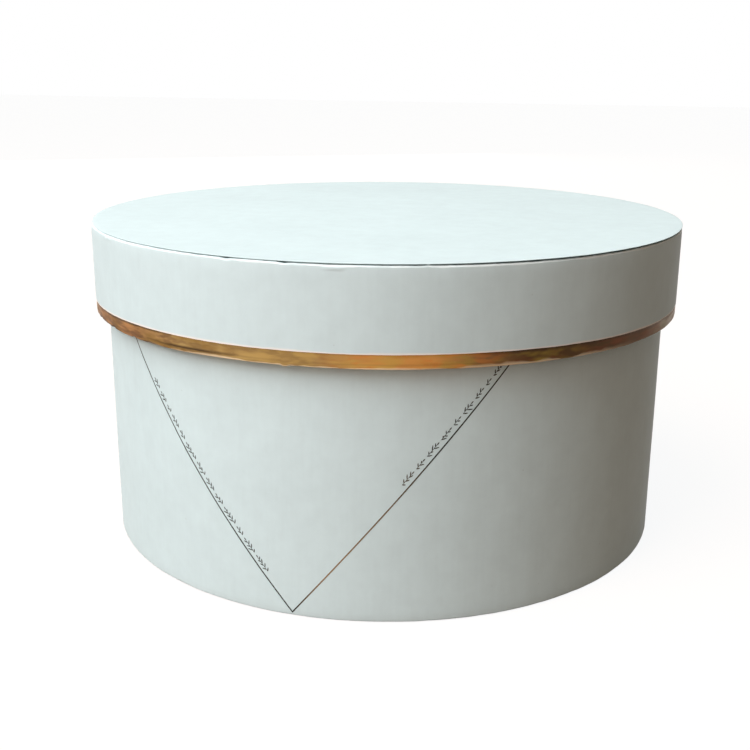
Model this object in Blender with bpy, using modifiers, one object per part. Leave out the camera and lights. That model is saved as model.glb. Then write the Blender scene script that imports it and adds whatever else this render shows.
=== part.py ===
"""Round gift box: a paper-wrapped drum with a telescoping lid, a gold foil edging and a foil chevron.

Metres, +Z up. The origin is the centre of the foot, and the chevron's point faces -Y.
Both halves are greyboard tubes closed by a board disc, covered outside and lined inside with paper.
"""

import math

import bmesh
import bpy
from mathutils import Matrix

mm = 0.001

# Overall sizes
lid_outer_diameter = 300 * mm
box_height = 160 * mm
lid_depth = 42.6 * mm

# Sheet stock
wall_board = 2.5 * mm
lid_disc_board = 2.0 * mm
floor_disc_board = 2.5 * mm
cover_paper = 0.35 * mm
edging_foil = 0.3 * mm
lining_paper = 0.35 * mm
top_card = 0.4 * mm
foot_card = 0.4 * mm
board_edge_round = 0.6 * mm

# Clearances
glue_gap = 0.3 * mm
lid_slack = 1.3 * mm
seat_gap = 0.3 * mm
disc_gap = 0.3 * mm

# Lid wrap, edging and linings
gold_reveal = 5.5 * mm
edging_under_wrap = 6.0 * mm
edging_turn_up = 12.0 * mm
gold_shown_inside = 6.0 * mm
lid_tab_length = 14.0 * mm
top_card_inset = 0.2 * mm

# Base wrap and linings
rim_turn_in = 15.0 * mm
rim_cover_shown = 4.0 * mm
foot_tab_length = 16.0 * mm
foot_card_inset = 3.0 * mm

# The turn-in margins are notched, so that they lie flat on the discs
tab_notch_width = 3.0 * mm

# Foil chevron stamped on the base wrap
chevron_slope = math.radians(50.5)
chevron_line_width = 0.7 * mm
chevron_foil = 0.15 * mm
chevron_foot_margin = 0.3 * mm

# Smoothness: every round piece has the same corners, so that nested skins stay apart
around = 72
segments_per_tab = 2
paper_fold_segments = 3
board_round_segments = 2
chevron_steps = 11
front = math.radians(-90)
smooth_angle = math.radians(30)
weld_distance = 0.01 * mm

# Lid radii, from outside to inside
lid_wrap_radius = lid_outer_diameter / 2
edging_outer_radius = lid_wrap_radius - cover_paper - glue_gap
lid_board_outer_radius = edging_outer_radius - edging_foil - glue_gap
lid_board_inner_radius = lid_board_outer_radius - wall_board
edging_inner_radius = lid_board_inner_radius - glue_gap - edging_foil
lid_lining_outer_radius = edging_inner_radius - glue_gap
lid_inner_radius = lid_lining_outer_radius - lining_paper

# Base radii, from outside to inside
base_wrap_radius = lid_inner_radius - lid_slack
base_board_outer_radius = base_wrap_radius - cover_paper - glue_gap
base_board_inner_radius = base_board_outer_radius - wall_board
turn_in_radius = base_board_inner_radius - glue_gap - cover_paper
base_lining_outer_radius = turn_in_radius - glue_gap
base_inner_radius = base_lining_outer_radius - lining_paper

# Heights of the lid's pieces, above the underside of its ceiling lining
lid_disc_bottom = lining_paper + glue_gap
lid_disc_top = lid_disc_bottom + lid_disc_board
lid_tabs_bottom = lid_disc_top + glue_gap
lid_tabs_top = lid_tabs_bottom + cover_paper
top_card_bottom = lid_tabs_top + glue_gap
lid_top = top_card_bottom + top_card
edging_bottom = lid_top - lid_depth
lid_wrap_bottom = edging_bottom + gold_reveal
lid_board_bottom = edging_bottom + edging_foil + glue_gap

# Heights of the base's pieces, above the table
foot_tabs_bottom = foot_card + glue_gap
foot_tabs_top = foot_tabs_bottom + cover_paper
base_board_bottom = foot_tabs_top + glue_gap
floor_board_top = base_board_bottom + floor_disc_board
floor_lining_bottom = floor_board_top + glue_gap
lid_seat_height = box_height - lid_top
rim_height = lid_seat_height - seat_gap
base_board_top = rim_height - cover_paper - glue_gap

# A fold's outer face is concentric with the board's rounded edge
wrap_fold_radius = board_edge_round + glue_gap + cover_paper
edging_fold_radius = board_edge_round + glue_gap + edging_foil


def clear_scene():
    for obj in list(bpy.data.objects):
        bpy.data.objects.remove(obj)


def make_material(name, colour, roughness, metallic=0.0):
    material = bpy.data.materials.new(name)
    material.use_nodes = True
    shader = material.node_tree.nodes["Principled BSDF"]
    shader.inputs["Base Color"].default_value = (*colour, 1.0)
    shader.inputs["Roughness"].default_value = roughness
    shader.inputs["Metallic"].default_value = metallic
    material.diffuse_color = (*colour, 1.0)
    return material


def corner(centre_r, centre_z, radius, start, end, segments):
    """Points of a rounded corner in the profile plane, from one direction to another, in degrees."""
    points = []
    for step in range(segments + 1):
        angle = math.radians(start + (end - start) * step / segments)
        points.append((centre_r + radius * math.cos(angle), centre_z + radius * math.sin(angle)))
    return points


def place(obj, material, parent, height=0.0):
    """Puts a finished piece in the box's collection, at a height above its parent."""
    obj.data.materials.clear()
    obj.data.materials.append(material)
    box_collection.objects.link(obj)
    obj.parent = parent
    obj.location = (0.0, 0.0, height)
    return obj


def keep_modified_mesh(obj):
    """Replaces the mesh by the modified one, and shades it smooth up to its real edges."""
    bpy.context.view_layer.update()
    evaluated = obj.evaluated_get(bpy.context.evaluated_depsgraph_get())
    mesh = bpy.data.meshes.new_from_object(evaluated)
    obj.modifiers.clear()
    obj.data = mesh
    mesh.shade_smooth()
    mesh.set_sharp_from_angle(angle=smooth_angle)
    return obj


def draw_profile(bm, profile, closed):
    """Draws (radius, height) points as a line in the XZ plane."""
    points = [bm.verts.new((r, 0.0, z)) for r, z in profile]
    for point, following in zip(points, points[1:]):
        bm.edges.new((point, following))
    if closed:
        bm.edges.new((points[-1], points[0]))


def finish_object(name, bm):
    mesh = bpy.data.meshes.new(name)
    bm.to_mesh(mesh)
    bm.free()
    return bpy.data.objects.new(name, mesh)


def turned_ring(name, profile, material, parent):
    """A closed outline turned about Z. The outline runs down its outer side."""
    bm = bmesh.new()
    draw_profile(bm, profile, True)
    obj = place(finish_object(name, bm), material, parent)
    screw = obj.modifiers.new("turn", "SCREW")
    screw.axis = "Z"
    screw.angle = 2 * math.pi
    screw.steps = around
    screw.render_steps = around
    screw.use_merge_vertices = True
    screw.merge_threshold = weld_distance
    return keep_modified_mesh(obj)


def flat_disc(name, radius, bottom, thickness, material, parent):
    bm = bmesh.new()
    bmesh.ops.create_cone(
        bm, cap_ends=True, segments=around, radius1=radius, radius2=radius, depth=thickness
    )
    obj = place(finish_object(name, bm), material, parent, bottom + thickness / 2)
    return keep_modified_mesh(obj)


def cut_notches(bm, tip_radius, root_radius):
    """Parts a flat margin into tabs: the spokes between tabs are split, and their tips drawn apart."""
    tab_angle = 2 * math.pi * segments_per_tab / around
    spokes = []
    for edge in bm.edges:
        tip, root = sorted(v.co.xy.length for v in edge.verts)
        on_margin = abs(tip - tip_radius) < weld_distance and abs(root - root_radius) < weld_distance
        tabs_counted = math.atan2(edge.verts[0].co.y, edge.verts[0].co.x) / tab_angle
        if on_margin and abs(tabs_counted - round(tabs_counted)) < 1 / around:
            spokes.append(edge)
    bmesh.ops.split_edges(bm, edges=spokes)
    half_notch = tab_notch_width / 2 / tip_radius
    for vert in bm.verts:
        if abs(vert.co.xy.length - tip_radius) < weld_distance and len(vert.link_faces) == 1:
            middle = vert.link_faces[0].calc_center_median()
            side = 1.0 if vert.co.xy.cross(middle.xy) > 0 else -1.0
            vert.co = Matrix.Rotation(side * half_notch, 3, "Z") @ vert.co


def turned_skin(name, profile, thickness, material, parent, tabs=None):
    """Paper that follows a line turned about Z. The line is the outer face, and the paper lies inside it.

    tabs gives the radii of a flat margin's tips and roots, where the paper is notched.
    """
    bm = bmesh.new()
    draw_profile(bm, profile, False)
    bmesh.ops.spin(
        bm,
        geom=bm.verts[:] + bm.edges[:],
        cent=(0.0, 0.0, 0.0),
        axis=(0.0, 0.0, 1.0),
        angle=2 * math.pi,
        steps=around,
        use_merge=True,
    )
    if tabs:
        cut_notches(bm, *tabs)
    obj = place(finish_object(name, bm), material, parent)
    paper = obj.modifiers.new("paper", "SOLIDIFY")
    paper.thickness = thickness
    paper.offset = -1.0
    paper.use_even_offset = True
    return keep_modified_mesh(obj)


# Lid


def build_lid_wall_board(parent):
    """Greyboard tube, its edges rounded where paper turns over them."""
    outer = lid_board_outer_radius - board_edge_round
    inner = lid_board_inner_radius + board_edge_round
    low = lid_board_bottom + board_edge_round
    profile = [(lid_board_inner_radius, lid_disc_top)]
    profile += corner(outer, lid_disc_top - board_edge_round, board_edge_round, 90, 0, board_round_segments)
    profile += corner(outer, low, board_edge_round, 0, -90, board_round_segments)
    profile += corner(inner, low, board_edge_round, -90, -180, board_round_segments)
    return turned_ring("lid_wall_board", profile, greyboard, parent)


def build_lid_top_board(parent):
    radius = lid_board_inner_radius - disc_gap
    return flat_disc("lid_top_board", radius, lid_disc_bottom, lid_disc_board, greyboard, parent)


def build_lid_side_wrap(parent):
    """Cover paper on the lid's wall, turned over the top edge as a notched margin."""
    root = lid_wrap_radius - wrap_fold_radius
    tip = root - lid_tab_length
    profile = [(tip, lid_tabs_top)]
    profile += corner(root, lid_tabs_top - wrap_fold_radius, wrap_fold_radius, 90, 0, paper_fold_segments)
    profile.append((lid_wrap_radius, lid_wrap_bottom))
    return turned_skin("lid_side_wrap", profile, cover_paper, cover, parent, (tip, root))


def build_lid_gold_edging(parent):
    """Gold foil paper folded round the lid's lower edge, its outer leg tucked under the wrap."""
    outer = edging_outer_radius - edging_fold_radius
    inner = edging_inner_radius + edging_fold_radius
    low = edging_bottom + edging_fold_radius
    profile = [(edging_outer_radius, lid_wrap_bottom + edging_under_wrap)]
    profile += corner(outer, low, edging_fold_radius, 0, -90, paper_fold_segments)
    profile += corner(inner, low, edging_fold_radius, -90, -180, paper_fold_segments)
    profile.append((edging_inner_radius, edging_bottom + edging_turn_up))
    return turned_skin("lid_gold_edging", profile, edging_foil, gold, parent)


def build_lid_top_sheet(parent):
    """Card disc that covers the notched margin and overhangs the rounded shoulder."""
    radius = lid_wrap_radius - top_card_inset
    return flat_disc("lid_top_sheet", radius, top_card_bottom, top_card, cover, parent)


def build_lid_wall_lining(parent):
    top = lining_paper
    bottom = edging_bottom + gold_shown_inside
    profile = [
        (lid_lining_outer_radius, top),
        (lid_lining_outer_radius, bottom),
        (lid_inner_radius, bottom),
        (lid_inner_radius, top),
    ]
    return turned_ring("lid_wall_lining", profile, lining, parent)


def build_lid_ceiling_lining(parent):
    radius = lid_inner_radius - disc_gap
    return flat_disc("lid_ceiling_lining", radius, 0.0, lining_paper, lining, parent)


# Base


def build_base_wall_board(parent):
    """Greyboard tube. The lid's ceiling rests on its wrapped top edge."""
    outer = base_board_outer_radius - board_edge_round
    inner = base_board_inner_radius + board_edge_round
    high = base_board_top - board_edge_round
    profile = corner(inner, high, board_edge_round, 180, 90, board_round_segments)
    profile += corner(outer, high, board_edge_round, 90, 0, board_round_segments)
    low = base_board_bottom + board_edge_round
    profile += corner(outer, low, board_edge_round, 0, -90, board_round_segments)
    profile.append((base_board_inner_radius, base_board_bottom))
    return turned_ring("base_wall_board", profile, greyboard, parent)


def build_base_floor_board(parent):
    radius = base_board_inner_radius - disc_gap
    return flat_disc("base_floor_board", radius, base_board_bottom, floor_disc_board, greyboard, parent)


def build_base_side_wrap(parent):
    """Cover paper: turned in over the rim at the top, and under the floor as a notched margin."""
    high = rim_height - wrap_fold_radius
    low = foot_tabs_bottom + wrap_fold_radius
    root = base_wrap_radius - wrap_fold_radius
    tip = root - foot_tab_length
    profile = [(turn_in_radius, rim_height - rim_turn_in)]
    profile += corner(turn_in_radius + wrap_fold_radius, high, wrap_fold_radius, 180, 90, paper_fold_segments)
    profile += corner(root, high, wrap_fold_radius, 90, 0, paper_fold_segments)
    profile += corner(root, low, wrap_fold_radius, 0, -90, paper_fold_segments)
    profile.append((tip, foot_tabs_bottom))
    return turned_skin("base_side_wrap", profile, cover_paper, cover, parent, (tip, root))


def build_base_foot_sheet(parent):
    """Card disc under the floor that covers the notched margin. The box stands on it."""
    radius = base_wrap_radius - foot_card_inset
    return flat_disc("base_foot_sheet", radius, 0.0, foot_card, lining, parent)


def build_base_wall_lining(parent):
    top = rim_height - rim_cover_shown
    profile = [
        (base_lining_outer_radius, top),
        (base_lining_outer_radius, floor_lining_bottom),
        (base_inner_radius, floor_lining_bottom),
        (base_inner_radius, top),
    ]
    return turned_ring("base_wall_lining", profile, lining, parent)


def build_base_floor_lining(parent):
    radius = base_inner_radius - disc_gap
    return flat_disc("base_floor_lining", radius, floor_lining_bottom, lining_paper, lining, parent)


def build_foil_chevron(parent):
    """Foil line stamped as a V: straight on the flat paper, so each arm climbs the wall as a helix."""
    inner = base_wrap_radius + glue_gap
    outer = inner + chevron_foil
    half_line = chevron_line_width / 2 / math.cos(chevron_slope)
    low = foot_tabs_bottom + wrap_fold_radius + chevron_foot_margin + half_line
    rise = rim_height - wrap_fold_radius - half_line - low
    sweep = rise / math.tan(chevron_slope) / base_wrap_radius
    section = [
        (inner, low - half_line),
        (outer, low - half_line),
        (outer, low + half_line),
        (inner, low + half_line),
    ]
    bm = bmesh.new()
    corners = [bm.verts.new((r * math.cos(front), r * math.sin(front), z)) for r, z in section]
    bmesh.ops.spin(
        bm,
        geom=[bm.faces.new(corners)],
        cent=(0.0, 0.0, 0.0),
        axis=(0.0, 0.0, 1.0),
        dvec=(0.0, 0.0, rise / chevron_steps),
        angle=sweep,
        steps=chevron_steps,
    )
    at_point = [f for f in bm.faces if all(abs(v.co.x) < weld_distance for v in f.verts)]
    bmesh.ops.delete(bm, geom=at_point, context="FACES")
    bmesh.ops.recalc_face_normals(bm, faces=bm.faces)
    obj = place(finish_object("foil_chevron", bm), gold, parent)
    mirror = obj.modifiers.new("other arm", "MIRROR")
    mirror.use_axis = (True, False, False)
    mirror.merge_threshold = weld_distance
    return keep_modified_mesh(obj)


def build_base():
    base = bpy.data.objects.new("base", None)
    box_collection.objects.link(base)
    build_base_wall_board(base)
    build_base_floor_board(base)
    build_base_side_wrap(base)
    build_base_foot_sheet(base)
    build_base_wall_lining(base)
    build_base_floor_lining(base)
    build_foil_chevron(base)
    return base


def build_lid(base):
    """The lid slides up and off along Z. Its empty stands where its ceiling meets the rim."""
    lid = bpy.data.objects.new("lid", None)
    box_collection.objects.link(lid)
    lid.parent = base
    lid.location = (0.0, 0.0, lid_seat_height)
    build_lid_wall_board(lid)
    build_lid_top_board(lid)
    build_lid_side_wrap(lid)
    build_lid_gold_edging(lid)
    build_lid_top_sheet(lid)
    build_lid_wall_lining(lid)
    build_lid_ceiling_lining(lid)
    return lid


clear_scene()
box_collection = bpy.data.collections.new("round_gift_box")
bpy.context.scene.collection.children.link(box_collection)
cover = make_material("pale_mint_cover_paper", (0.66, 0.79, 0.79), 0.55)
gold = make_material("gold_foil", (0.45, 0.24, 0.08), 0.32, 1.0)
lining = make_material("white_lining_paper", (0.83, 0.83, 0.80), 0.7)
greyboard = make_material("greyboard", (0.30, 0.28, 0.25), 0.9)
build_lid(build_base())
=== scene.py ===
"""Looks of the round gift box: covering papers, gold edging, foil chevron, linings and boards.

Each sheet is rolled or cut at its real thickness in the place that the frame gives, with the laps,
notched margins and small unevenness of handwork. Lengths are in metres.
"""

import bisect
import math

import bmesh
import bpy
from mathutils import Matrix, Vector, noise


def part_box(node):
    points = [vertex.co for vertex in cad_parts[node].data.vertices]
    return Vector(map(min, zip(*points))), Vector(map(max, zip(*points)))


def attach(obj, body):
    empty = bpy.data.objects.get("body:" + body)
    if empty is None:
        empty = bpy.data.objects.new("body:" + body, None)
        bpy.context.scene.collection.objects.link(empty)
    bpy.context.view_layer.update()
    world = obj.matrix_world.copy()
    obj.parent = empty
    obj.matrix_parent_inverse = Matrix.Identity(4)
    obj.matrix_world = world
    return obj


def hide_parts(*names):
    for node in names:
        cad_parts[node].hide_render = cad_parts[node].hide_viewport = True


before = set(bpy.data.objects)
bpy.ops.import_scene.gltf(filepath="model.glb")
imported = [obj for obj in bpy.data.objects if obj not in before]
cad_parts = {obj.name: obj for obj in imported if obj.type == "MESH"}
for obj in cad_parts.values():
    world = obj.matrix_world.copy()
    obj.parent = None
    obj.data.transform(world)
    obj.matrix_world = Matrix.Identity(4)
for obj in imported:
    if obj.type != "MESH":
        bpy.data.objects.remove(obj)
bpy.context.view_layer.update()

mm = 0.001
full_turn = 2 * math.pi
front = math.radians(-90)
back = math.radians(90)

# Camera at the photograph's place, with the photograph's field of view
camera_azimuth = math.radians(16.1)
camera_distance = 567.2 * mm
camera_height = 236.0 * mm
camera_pitch = math.radians(16.193)
camera_pan = math.radians(0.533)
camera_roll = math.radians(0.371)
field_of_view = math.radians(38.245)

# How far the soft lamps stand from the box
lamp_distance = 2.2

# Thickness of each sheet
wrap_paper = 0.12 * mm
edging_paper = 0.12 * mm
lining_paper = 0.14 * mm
lining_disc_paper = 0.2 * mm
top_card = 0.28 * mm
foot_card = 0.3 * mm
foil_film = 0.03 * mm

# How round the cut edges of the cards and of the lining discs are
top_card_round = 0.06 * mm
foot_card_round = 0.08 * mm
lining_disc_round = 0.05 * mm

# Waves of the glued cards and discs: how deep and how long
top_card_wave = (0.05 * mm, 30 * mm)
lining_disc_wave = (0.06 * mm, 24 * mm)

# How finely the sheets and the discs inside and below the box are divided round it
ring_columns = 720
hidden_columns = 240

# The rolled sheets overlap at the back, where one end is glued over the other
lap_length = 9 * mm
lap_lift = 0.14 * mm
lap_ramp = 2.5 * mm

# The boards are a little out of round, and waves run up the glued papers
round_error = 0.05 * mm
wave_depth = 0.1 * mm
wave_length = 10 * mm
wave_stretch = 0.3
wave_room = 0.12 * mm

# Each wall's own waves
lid_wall_seed = 0.0
lid_lining_seed = 4.0
base_lining_seed = 6.0
base_wall_seed = 9.0

# Waves of the edges cut and folded by hand, as (size, how closely they follow each other, seed)
edge_waves = {
    "lid fold": ((0.07 * mm, 70.0, 3.3), (0.06 * mm, 22.0, 5.9)),
    "lid cut": ((0.09 * mm, 12.0, 8.8), (0.05 * mm, 60.0, 1.1)),
    "disc cut": ((0.16 * mm, 9.0, 3.3), (0.09 * mm, 40.0, 0.7)),
    "gold fold": ((0.2 * mm, 7.0, 1.3), (0.12 * mm, 33.0, 4.7)),
    "gold turn": ((0.2 * mm, 11.0, 6.1),),
    "lid lining": ((0.3 * mm, 8.0, 6.6),),
    "base lining": ((0.35 * mm, 7.0, 9.1),),
    "base foot": ((0.08 * mm, 30.0, 7.7),),
    "base foot turn": ((0.35 * mm, 8.0, 4.4),),
    "base rim turn": ((0.2 * mm, 12.0, 2.2),),
}

# How far these edges lie inside their places at their mean
lid_cut_inset = 0.15 * mm
lid_lining_inset = 0.3 * mm
base_lining_inset = 0.35 * mm

# The turned-in margins are notched into tabs by eye
tab_count = 36
tab_shift = 6
notch_width = 3.0 * mm
lid_margin = 14 * mm
foot_margin = 16 * mm
rim_margin = 15 * mm

# The lid's top disc is glued on a little to one side, and bares the wrap's fold on the other
disc_radius = 149.45 * mm
disc_shift = 0.35 * mm
disc_shift_angle = math.radians(15.9)
disc_drop = 0.07 * mm
disc_pressed = 0.09 * mm

# The wrap leans in a little towards its fold
lean_height = 5 * mm
lean_depth = 0.22 * mm
glued_flat = 0.3 * mm
margin_drop = 0.2 * mm

# Hand-made marks on the lid, by their angle from the front
fold_blister_angle = front + math.radians(9.4)
fold_corner_angle = front - math.radians(40)
fold_dip_angles = (front - math.radians(9.8), front + math.radians(0.3))
fold_nick_angle = front + math.radians(22.5)
edging_joint_angle = front + math.radians(0.2)
blister_depth = 0.2 * mm
corner_depth = 0.15 * mm
blister_tail = math.radians(4)
corner_tail = math.radians(6)
dip_width = math.radians(0.8)
nick_width = math.radians(0.3)

# How far under the fold's top the wrap bulges at those marks: where it starts, is full and ends
bulge_rows = (2.8 * mm, 1.7 * mm, 1.0 * mm)

# The wrap's fold: its rise over the wrap's place and its radius where the disc bares it, and how
# much less of both it has where the disc reaches out over it
fold_rise = 0.16 * mm
fold_rise_loss = 0.42 * mm
fold_rise_limit = 0.22 * mm
fold_radius = 1.25 * mm
fold_radius_loss = 0.65 * mm
least_fold_radius = 0.4 * mm
most_fold_radius = 2.2 * mm
fold_scallop = 0.5 * mm
fold_scallop_loss = 0.3 * mm
fold_bend = 0.25 * mm
tab_lift = 0.13 * mm
dip_depth = 0.45 * mm
nick_height = 0.25 * mm
corner_lump = 1.2 * mm
corner_lump_tail = math.radians(9)
blister_lump = 0.6 * mm

# The edging's lower fold hangs under its place, more so where the paper is slack and at its joint
edging_hang = 0.65 * mm
slack_hang = 0.5 * mm
slack_angle = front - math.radians(28)
slack_width = math.radians(16)
joint_hang = 0.7 * mm
joint_width = math.radians(0.5)
jag_height = 0.4 * mm
edging_sag_share = 0.4

# The edging: its folds' radii, how far it reaches up inside the lid and under the wrap, and its
# gaps to the sheets beside it
inner_turn = 0.7 * mm
outer_turn = 0.55 * mm
inner_leg = 12 * mm
tucked_from = 0.4 * mm
tucked_to = 3 * mm
edging_gap = 0.07 * mm
edging_lining_gap = 0.2 * mm
foil_crinkle = 0.05 * mm
crinkles_round = 26.0
crinkle_height = 1.3 * mm

# The base's wrap: the radii of its folds and its gaps to the lining and to the foot's card
rim_turn_radius = 1.0 * mm
foot_turn_radius = 0.8 * mm
wrap_lining_gap = 0.3 * mm
foot_gap = 0.1 * mm

# The lid's papers were cut and folded a little lower at its sides and back than at its front
side_sag = 1.3 * mm

# Foil chevron and the leaf sprigs along its arms
chevron_slope = math.radians(50.5)
chevron_lift = 1.3 * mm
chevron_top_gap = 1.8 * mm
line_width = 0.6 * mm
leaf_length = 2.0 * mm
leaf_width = 0.5 * mm
leaf_spacing = 1.05 * mm
leaf_spread = math.radians(38)
stem_width = 0.2 * mm
tip_leaf_length = 0.8 * leaf_length
usual_leaves = 5
sprig_gap = 1.3 * mm
sprig_row_end = 5 * mm
foil_lift = 0.01 * mm

# The floor reaches this far each way, this much under the box's foot
floor_reach = 6.0
floor_gap = 0.1 * mm
lean_draw = Vector((31.7, 5.3, 17.9))

# Each arm's side, where its sprigs start and end along it, and how far inside it they lie
left_sprigs = (-1, 21 * mm, 123 * mm, 2.4 * mm)
right_sprigs = (1, 79 * mm, 174 * mm, 2.8 * mm)


def smooth_step(low, high, value):
    share = min(max((value - low) / (high - low), 0.0), 1.0)
    return share * share * (3 - 2 * share)


def polar(radius, angle, height):
    return Vector((radius * math.cos(angle), radius * math.sin(angle), height))


def ring_noise(angle, waves, seed):
    """A value between -1 and 1 that wanders round the box and closes on itself."""
    return noise.noise(Vector((waves * math.cos(angle), waves * math.sin(angle), seed)))


def edge_wave(angle, edge):
    """How far an edge made by hand is off its mean at an angle."""
    return sum(size * ring_noise(angle, waves, seed) for size, waves, seed in edge_waves[edge])


def turned_from(angle, place):
    """How far an angle is from a place on the ring, as an arc in radians from -pi to pi."""
    return (angle - place + math.pi) % full_turn - math.pi


def bump_at(angle, place, width):
    """A smooth bump, 1 at a place on the ring."""
    return math.exp(-((turned_from(angle, place) / width) ** 2))


def wall_wave(radius, angle, height, seed):
    """How far a papered wall stands off its true circle."""
    place = polar(radius, angle, height * wave_stretch) / wave_length
    waves = noise.noise(place + Vector((seed, seed, seed)))
    return round_error * ring_noise(angle, 1.3, seed) + wave_depth * waves


def add_object(name, data):
    made = bpy.data.objects.new(name, data)
    bpy.context.scene.collection.objects.link(made)
    return made


def add_piece(name, bm, material, body, node):
    """Turns a bmesh into a piece that rides on a body and stands for a node, if it has one."""
    mesh = bpy.data.meshes.new(name)
    bm.to_mesh(mesh)
    bm.free()
    mesh.materials.append(material)
    mesh.shade_smooth()
    mesh.set_sharp_from_angle(angle=math.radians(35))
    piece = add_object(name, mesh)
    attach(piece, body)
    if node:
        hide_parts(node)


def arc(centre_r, centre_z, radius, start, end, steps):
    """Rows of a fold, from one direction to another in degrees."""
    rows = []
    for step in range(steps + 1):
        angle = math.radians(start + (end - start) * step / steps)
        rows.append((centre_r + radius * math.cos(angle), centre_z + radius * math.sin(angle)))
    return rows


def run(start, end, steps):
    """Rows along a straight stretch, without its first."""
    return [
        tuple(a + (b - a) * step / steps for a, b in zip(start, end)) for step in range(1, steps + 1)
    ]


def row_normal(rows, index):
    """The direction in which a sheet faces at a row of its section."""
    before = Vector(rows[max(index - 1, 0)])
    after = Vector(rows[min(index + 1, len(rows) - 1)])
    along = (after - before).normalized()
    return Vector((along.y, -along.x))


def tab_edges(last_column):
    """Columns at which a margin is notched, from one end of the sheet to the other."""
    tab_columns = ring_columns // tab_count
    cuts = [
        tab * tab_columns + round(tab_shift * noise.noise(Vector((tab * 1.7, 0.4, 0.8))))
        for tab in range(1, tab_count)
    ]
    return [0, *cuts, last_column]


def cut_notches(bm, last_column, last_row, margin):
    """Splits a flat strip's margin along the columns between its tabs."""
    cuts = set(tab_edges(last_column)[1:-1])
    low, high = min(margin), max(margin)
    spokes = []
    for edge in bm.edges:
        columns = {round((vert.co.x + 0.5) * last_column) for vert in edge.verts}
        rows = [round((vert.co.y + 0.5) * last_row) for vert in edge.verts]
        if len(columns) == 1 and columns & cuts and low <= min(rows) and max(rows) <= high:
            spokes.append(edge)
    bmesh.ops.split_edges(bm, edges=spokes)


def draw_in_tab(column, row, side, margin, edges, column_width):
    """The column at which a tab's vertex lies after the notches beside it are cut."""
    tab = bisect.bisect_right(edges, side) - 1
    middle = (edges[tab] + edges[tab + 1]) / 2
    width = (edges[tab + 1] - edges[tab]) * column_width
    share = min(max((row - margin[0]) / (margin[1] - margin[0]), 0.0), 1.0)
    return middle + (column - middle) * (1 - share * notch_width / width)


def roll_sheet(section, thickness, margin=None, edges=None):
    """A strip rolled about Z from the back, its ends lapped, with its thickness laid inwards.

    section gives the sheet's rows of radius and height at an angle, and they run up its outer face.
    margin is the first and the last row of a margin that is notched into tabs. edges names the
    heights of cuts and folds at an angle. The sheet keeps its height above each, the distance to its
    lap's end and a mask of its margin, for its material: on the lid's wrap the margin lies under the
    disc and is painted with the crevice's shade.
    """
    last_row = len(section(back)) - 1
    widest = max(radius for radius, height in section(back))
    turn = full_turn / ring_columns
    last_column = ring_columns + math.ceil(lap_length / widest / turn)
    sections = [section(back + column * turn) for column in range(last_column + 1)]
    tabs = tab_edges(last_column)
    bm = bmesh.new()
    kept = []
    for name, edge in (edges or {}).items():
        heights = [edge(back + column * turn) for column in range(last_column + 1)]
        kept.append((bm.verts.layers.float.new(name), heights))
    lap_distance = bm.verts.layers.float.new("lap_distance")
    crevice_mask = bm.verts.layers.float.new("crevice_mask")
    bmesh.ops.create_grid(bm, x_segments=last_column, y_segments=last_row, size=0.5)
    if margin:
        cut_notches(bm, last_column, last_row, margin)
    places = []
    for vert in bm.verts:
        column = round((vert.co.x + 0.5) * last_column)
        row = round((vert.co.y + 0.5) * last_row)
        rows = sections[column]
        turned = column * turn
        lift = lap_lift * smooth_step(full_turn - lap_ramp / widest, full_turn, turned)
        radius, height = Vector(rows[row]) + lift * row_normal(rows, row)
        for layer, heights in kept:
            vert[layer] = height - heights[column]
        vert[lap_distance] = (last_column - column) * turn * widest
        if margin and min(margin) <= row <= max(margin):
            middle = sum(face.calc_center_median().x for face in vert.link_faces) / len(vert.link_faces)
            side = (middle + 0.5) * last_column
            turned = turn * draw_in_tab(column, row, side, margin, tabs, turn * widest)
            # The margin is marked for painted crevice shade
            vert[crevice_mask] = 1.0
        places.append((vert, polar(radius, back + turned, height)))
    for vert, place in places:
        vert.co = place
    bm.normal_update()
    bmesh.ops.solidify(bm, geom=bm.faces[:], thickness=thickness)
    return bm


def turn_profile(rows, steps):
    """A profile line turned about Z into a closed surface."""
    bm = bmesh.new()
    points = [bm.verts.new((radius, 0.0, height)) for radius, height in rows]
    for point, following in zip(points, points[1:]):
        bm.edges.new((point, following))
    bmesh.ops.spin(
        bm,
        geom=bm.verts[:] + bm.edges[:],
        cent=(0, 0, 0),
        axis=(0, 0, 1),
        angle=full_turn,
        steps=steps,
        use_merge=True,
    )
    bmesh.ops.remove_doubles(bm, verts=bm.verts, dist=0.001 * mm)
    bmesh.ops.recalc_face_normals(bm, faces=bm.faces)
    return bm


def card_rows(radius, bottom, top, edge_round, rings):
    """Half the section of a card disc, from its middle over the edge and back."""
    rim = 6 * mm
    rows = [(0.0, top)]
    rows += run((0.0, top), (radius - rim, top), rings)
    rows += run((radius - rim, top), (radius - edge_round, top), 4)[:-1]
    rows += arc(radius - edge_round, top - edge_round, edge_round, 90, 0, 3)
    rows += [(radius, bottom), (0.0, bottom)]
    return rows


def build_camera():
    data = bpy.data.cameras.new("camera")
    data.angle = field_of_view
    camera = add_object("camera", data)
    stand = Matrix.Translation((0, -camera_distance, camera_height))
    place = Matrix.Rotation(camera_azimuth, 4, "Z") @ stand
    aim = Matrix.Rotation(camera_pan, 4, "Z") @ Matrix.Rotation(math.pi / 2 - camera_pitch, 4, "X")
    camera.matrix_world = place @ aim @ Matrix.Rotation(camera_roll, 4, "Z")
    bpy.context.scene.camera = camera


def add_node(tree, kind, inputs=None, **settings):
    """Adds a shader node. An input is given a number, a colour or the socket that feeds it."""
    node = tree.nodes.new("ShaderNode" + kind)
    for name, value in settings.items():
        setattr(node, name, value)
    for name, value in (inputs or {}).items():
        if isinstance(value, bpy.types.NodeSocket):
            tree.links.new(value, node.inputs[name])
        else:
            node.inputs[name].default_value = value
    return node


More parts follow.
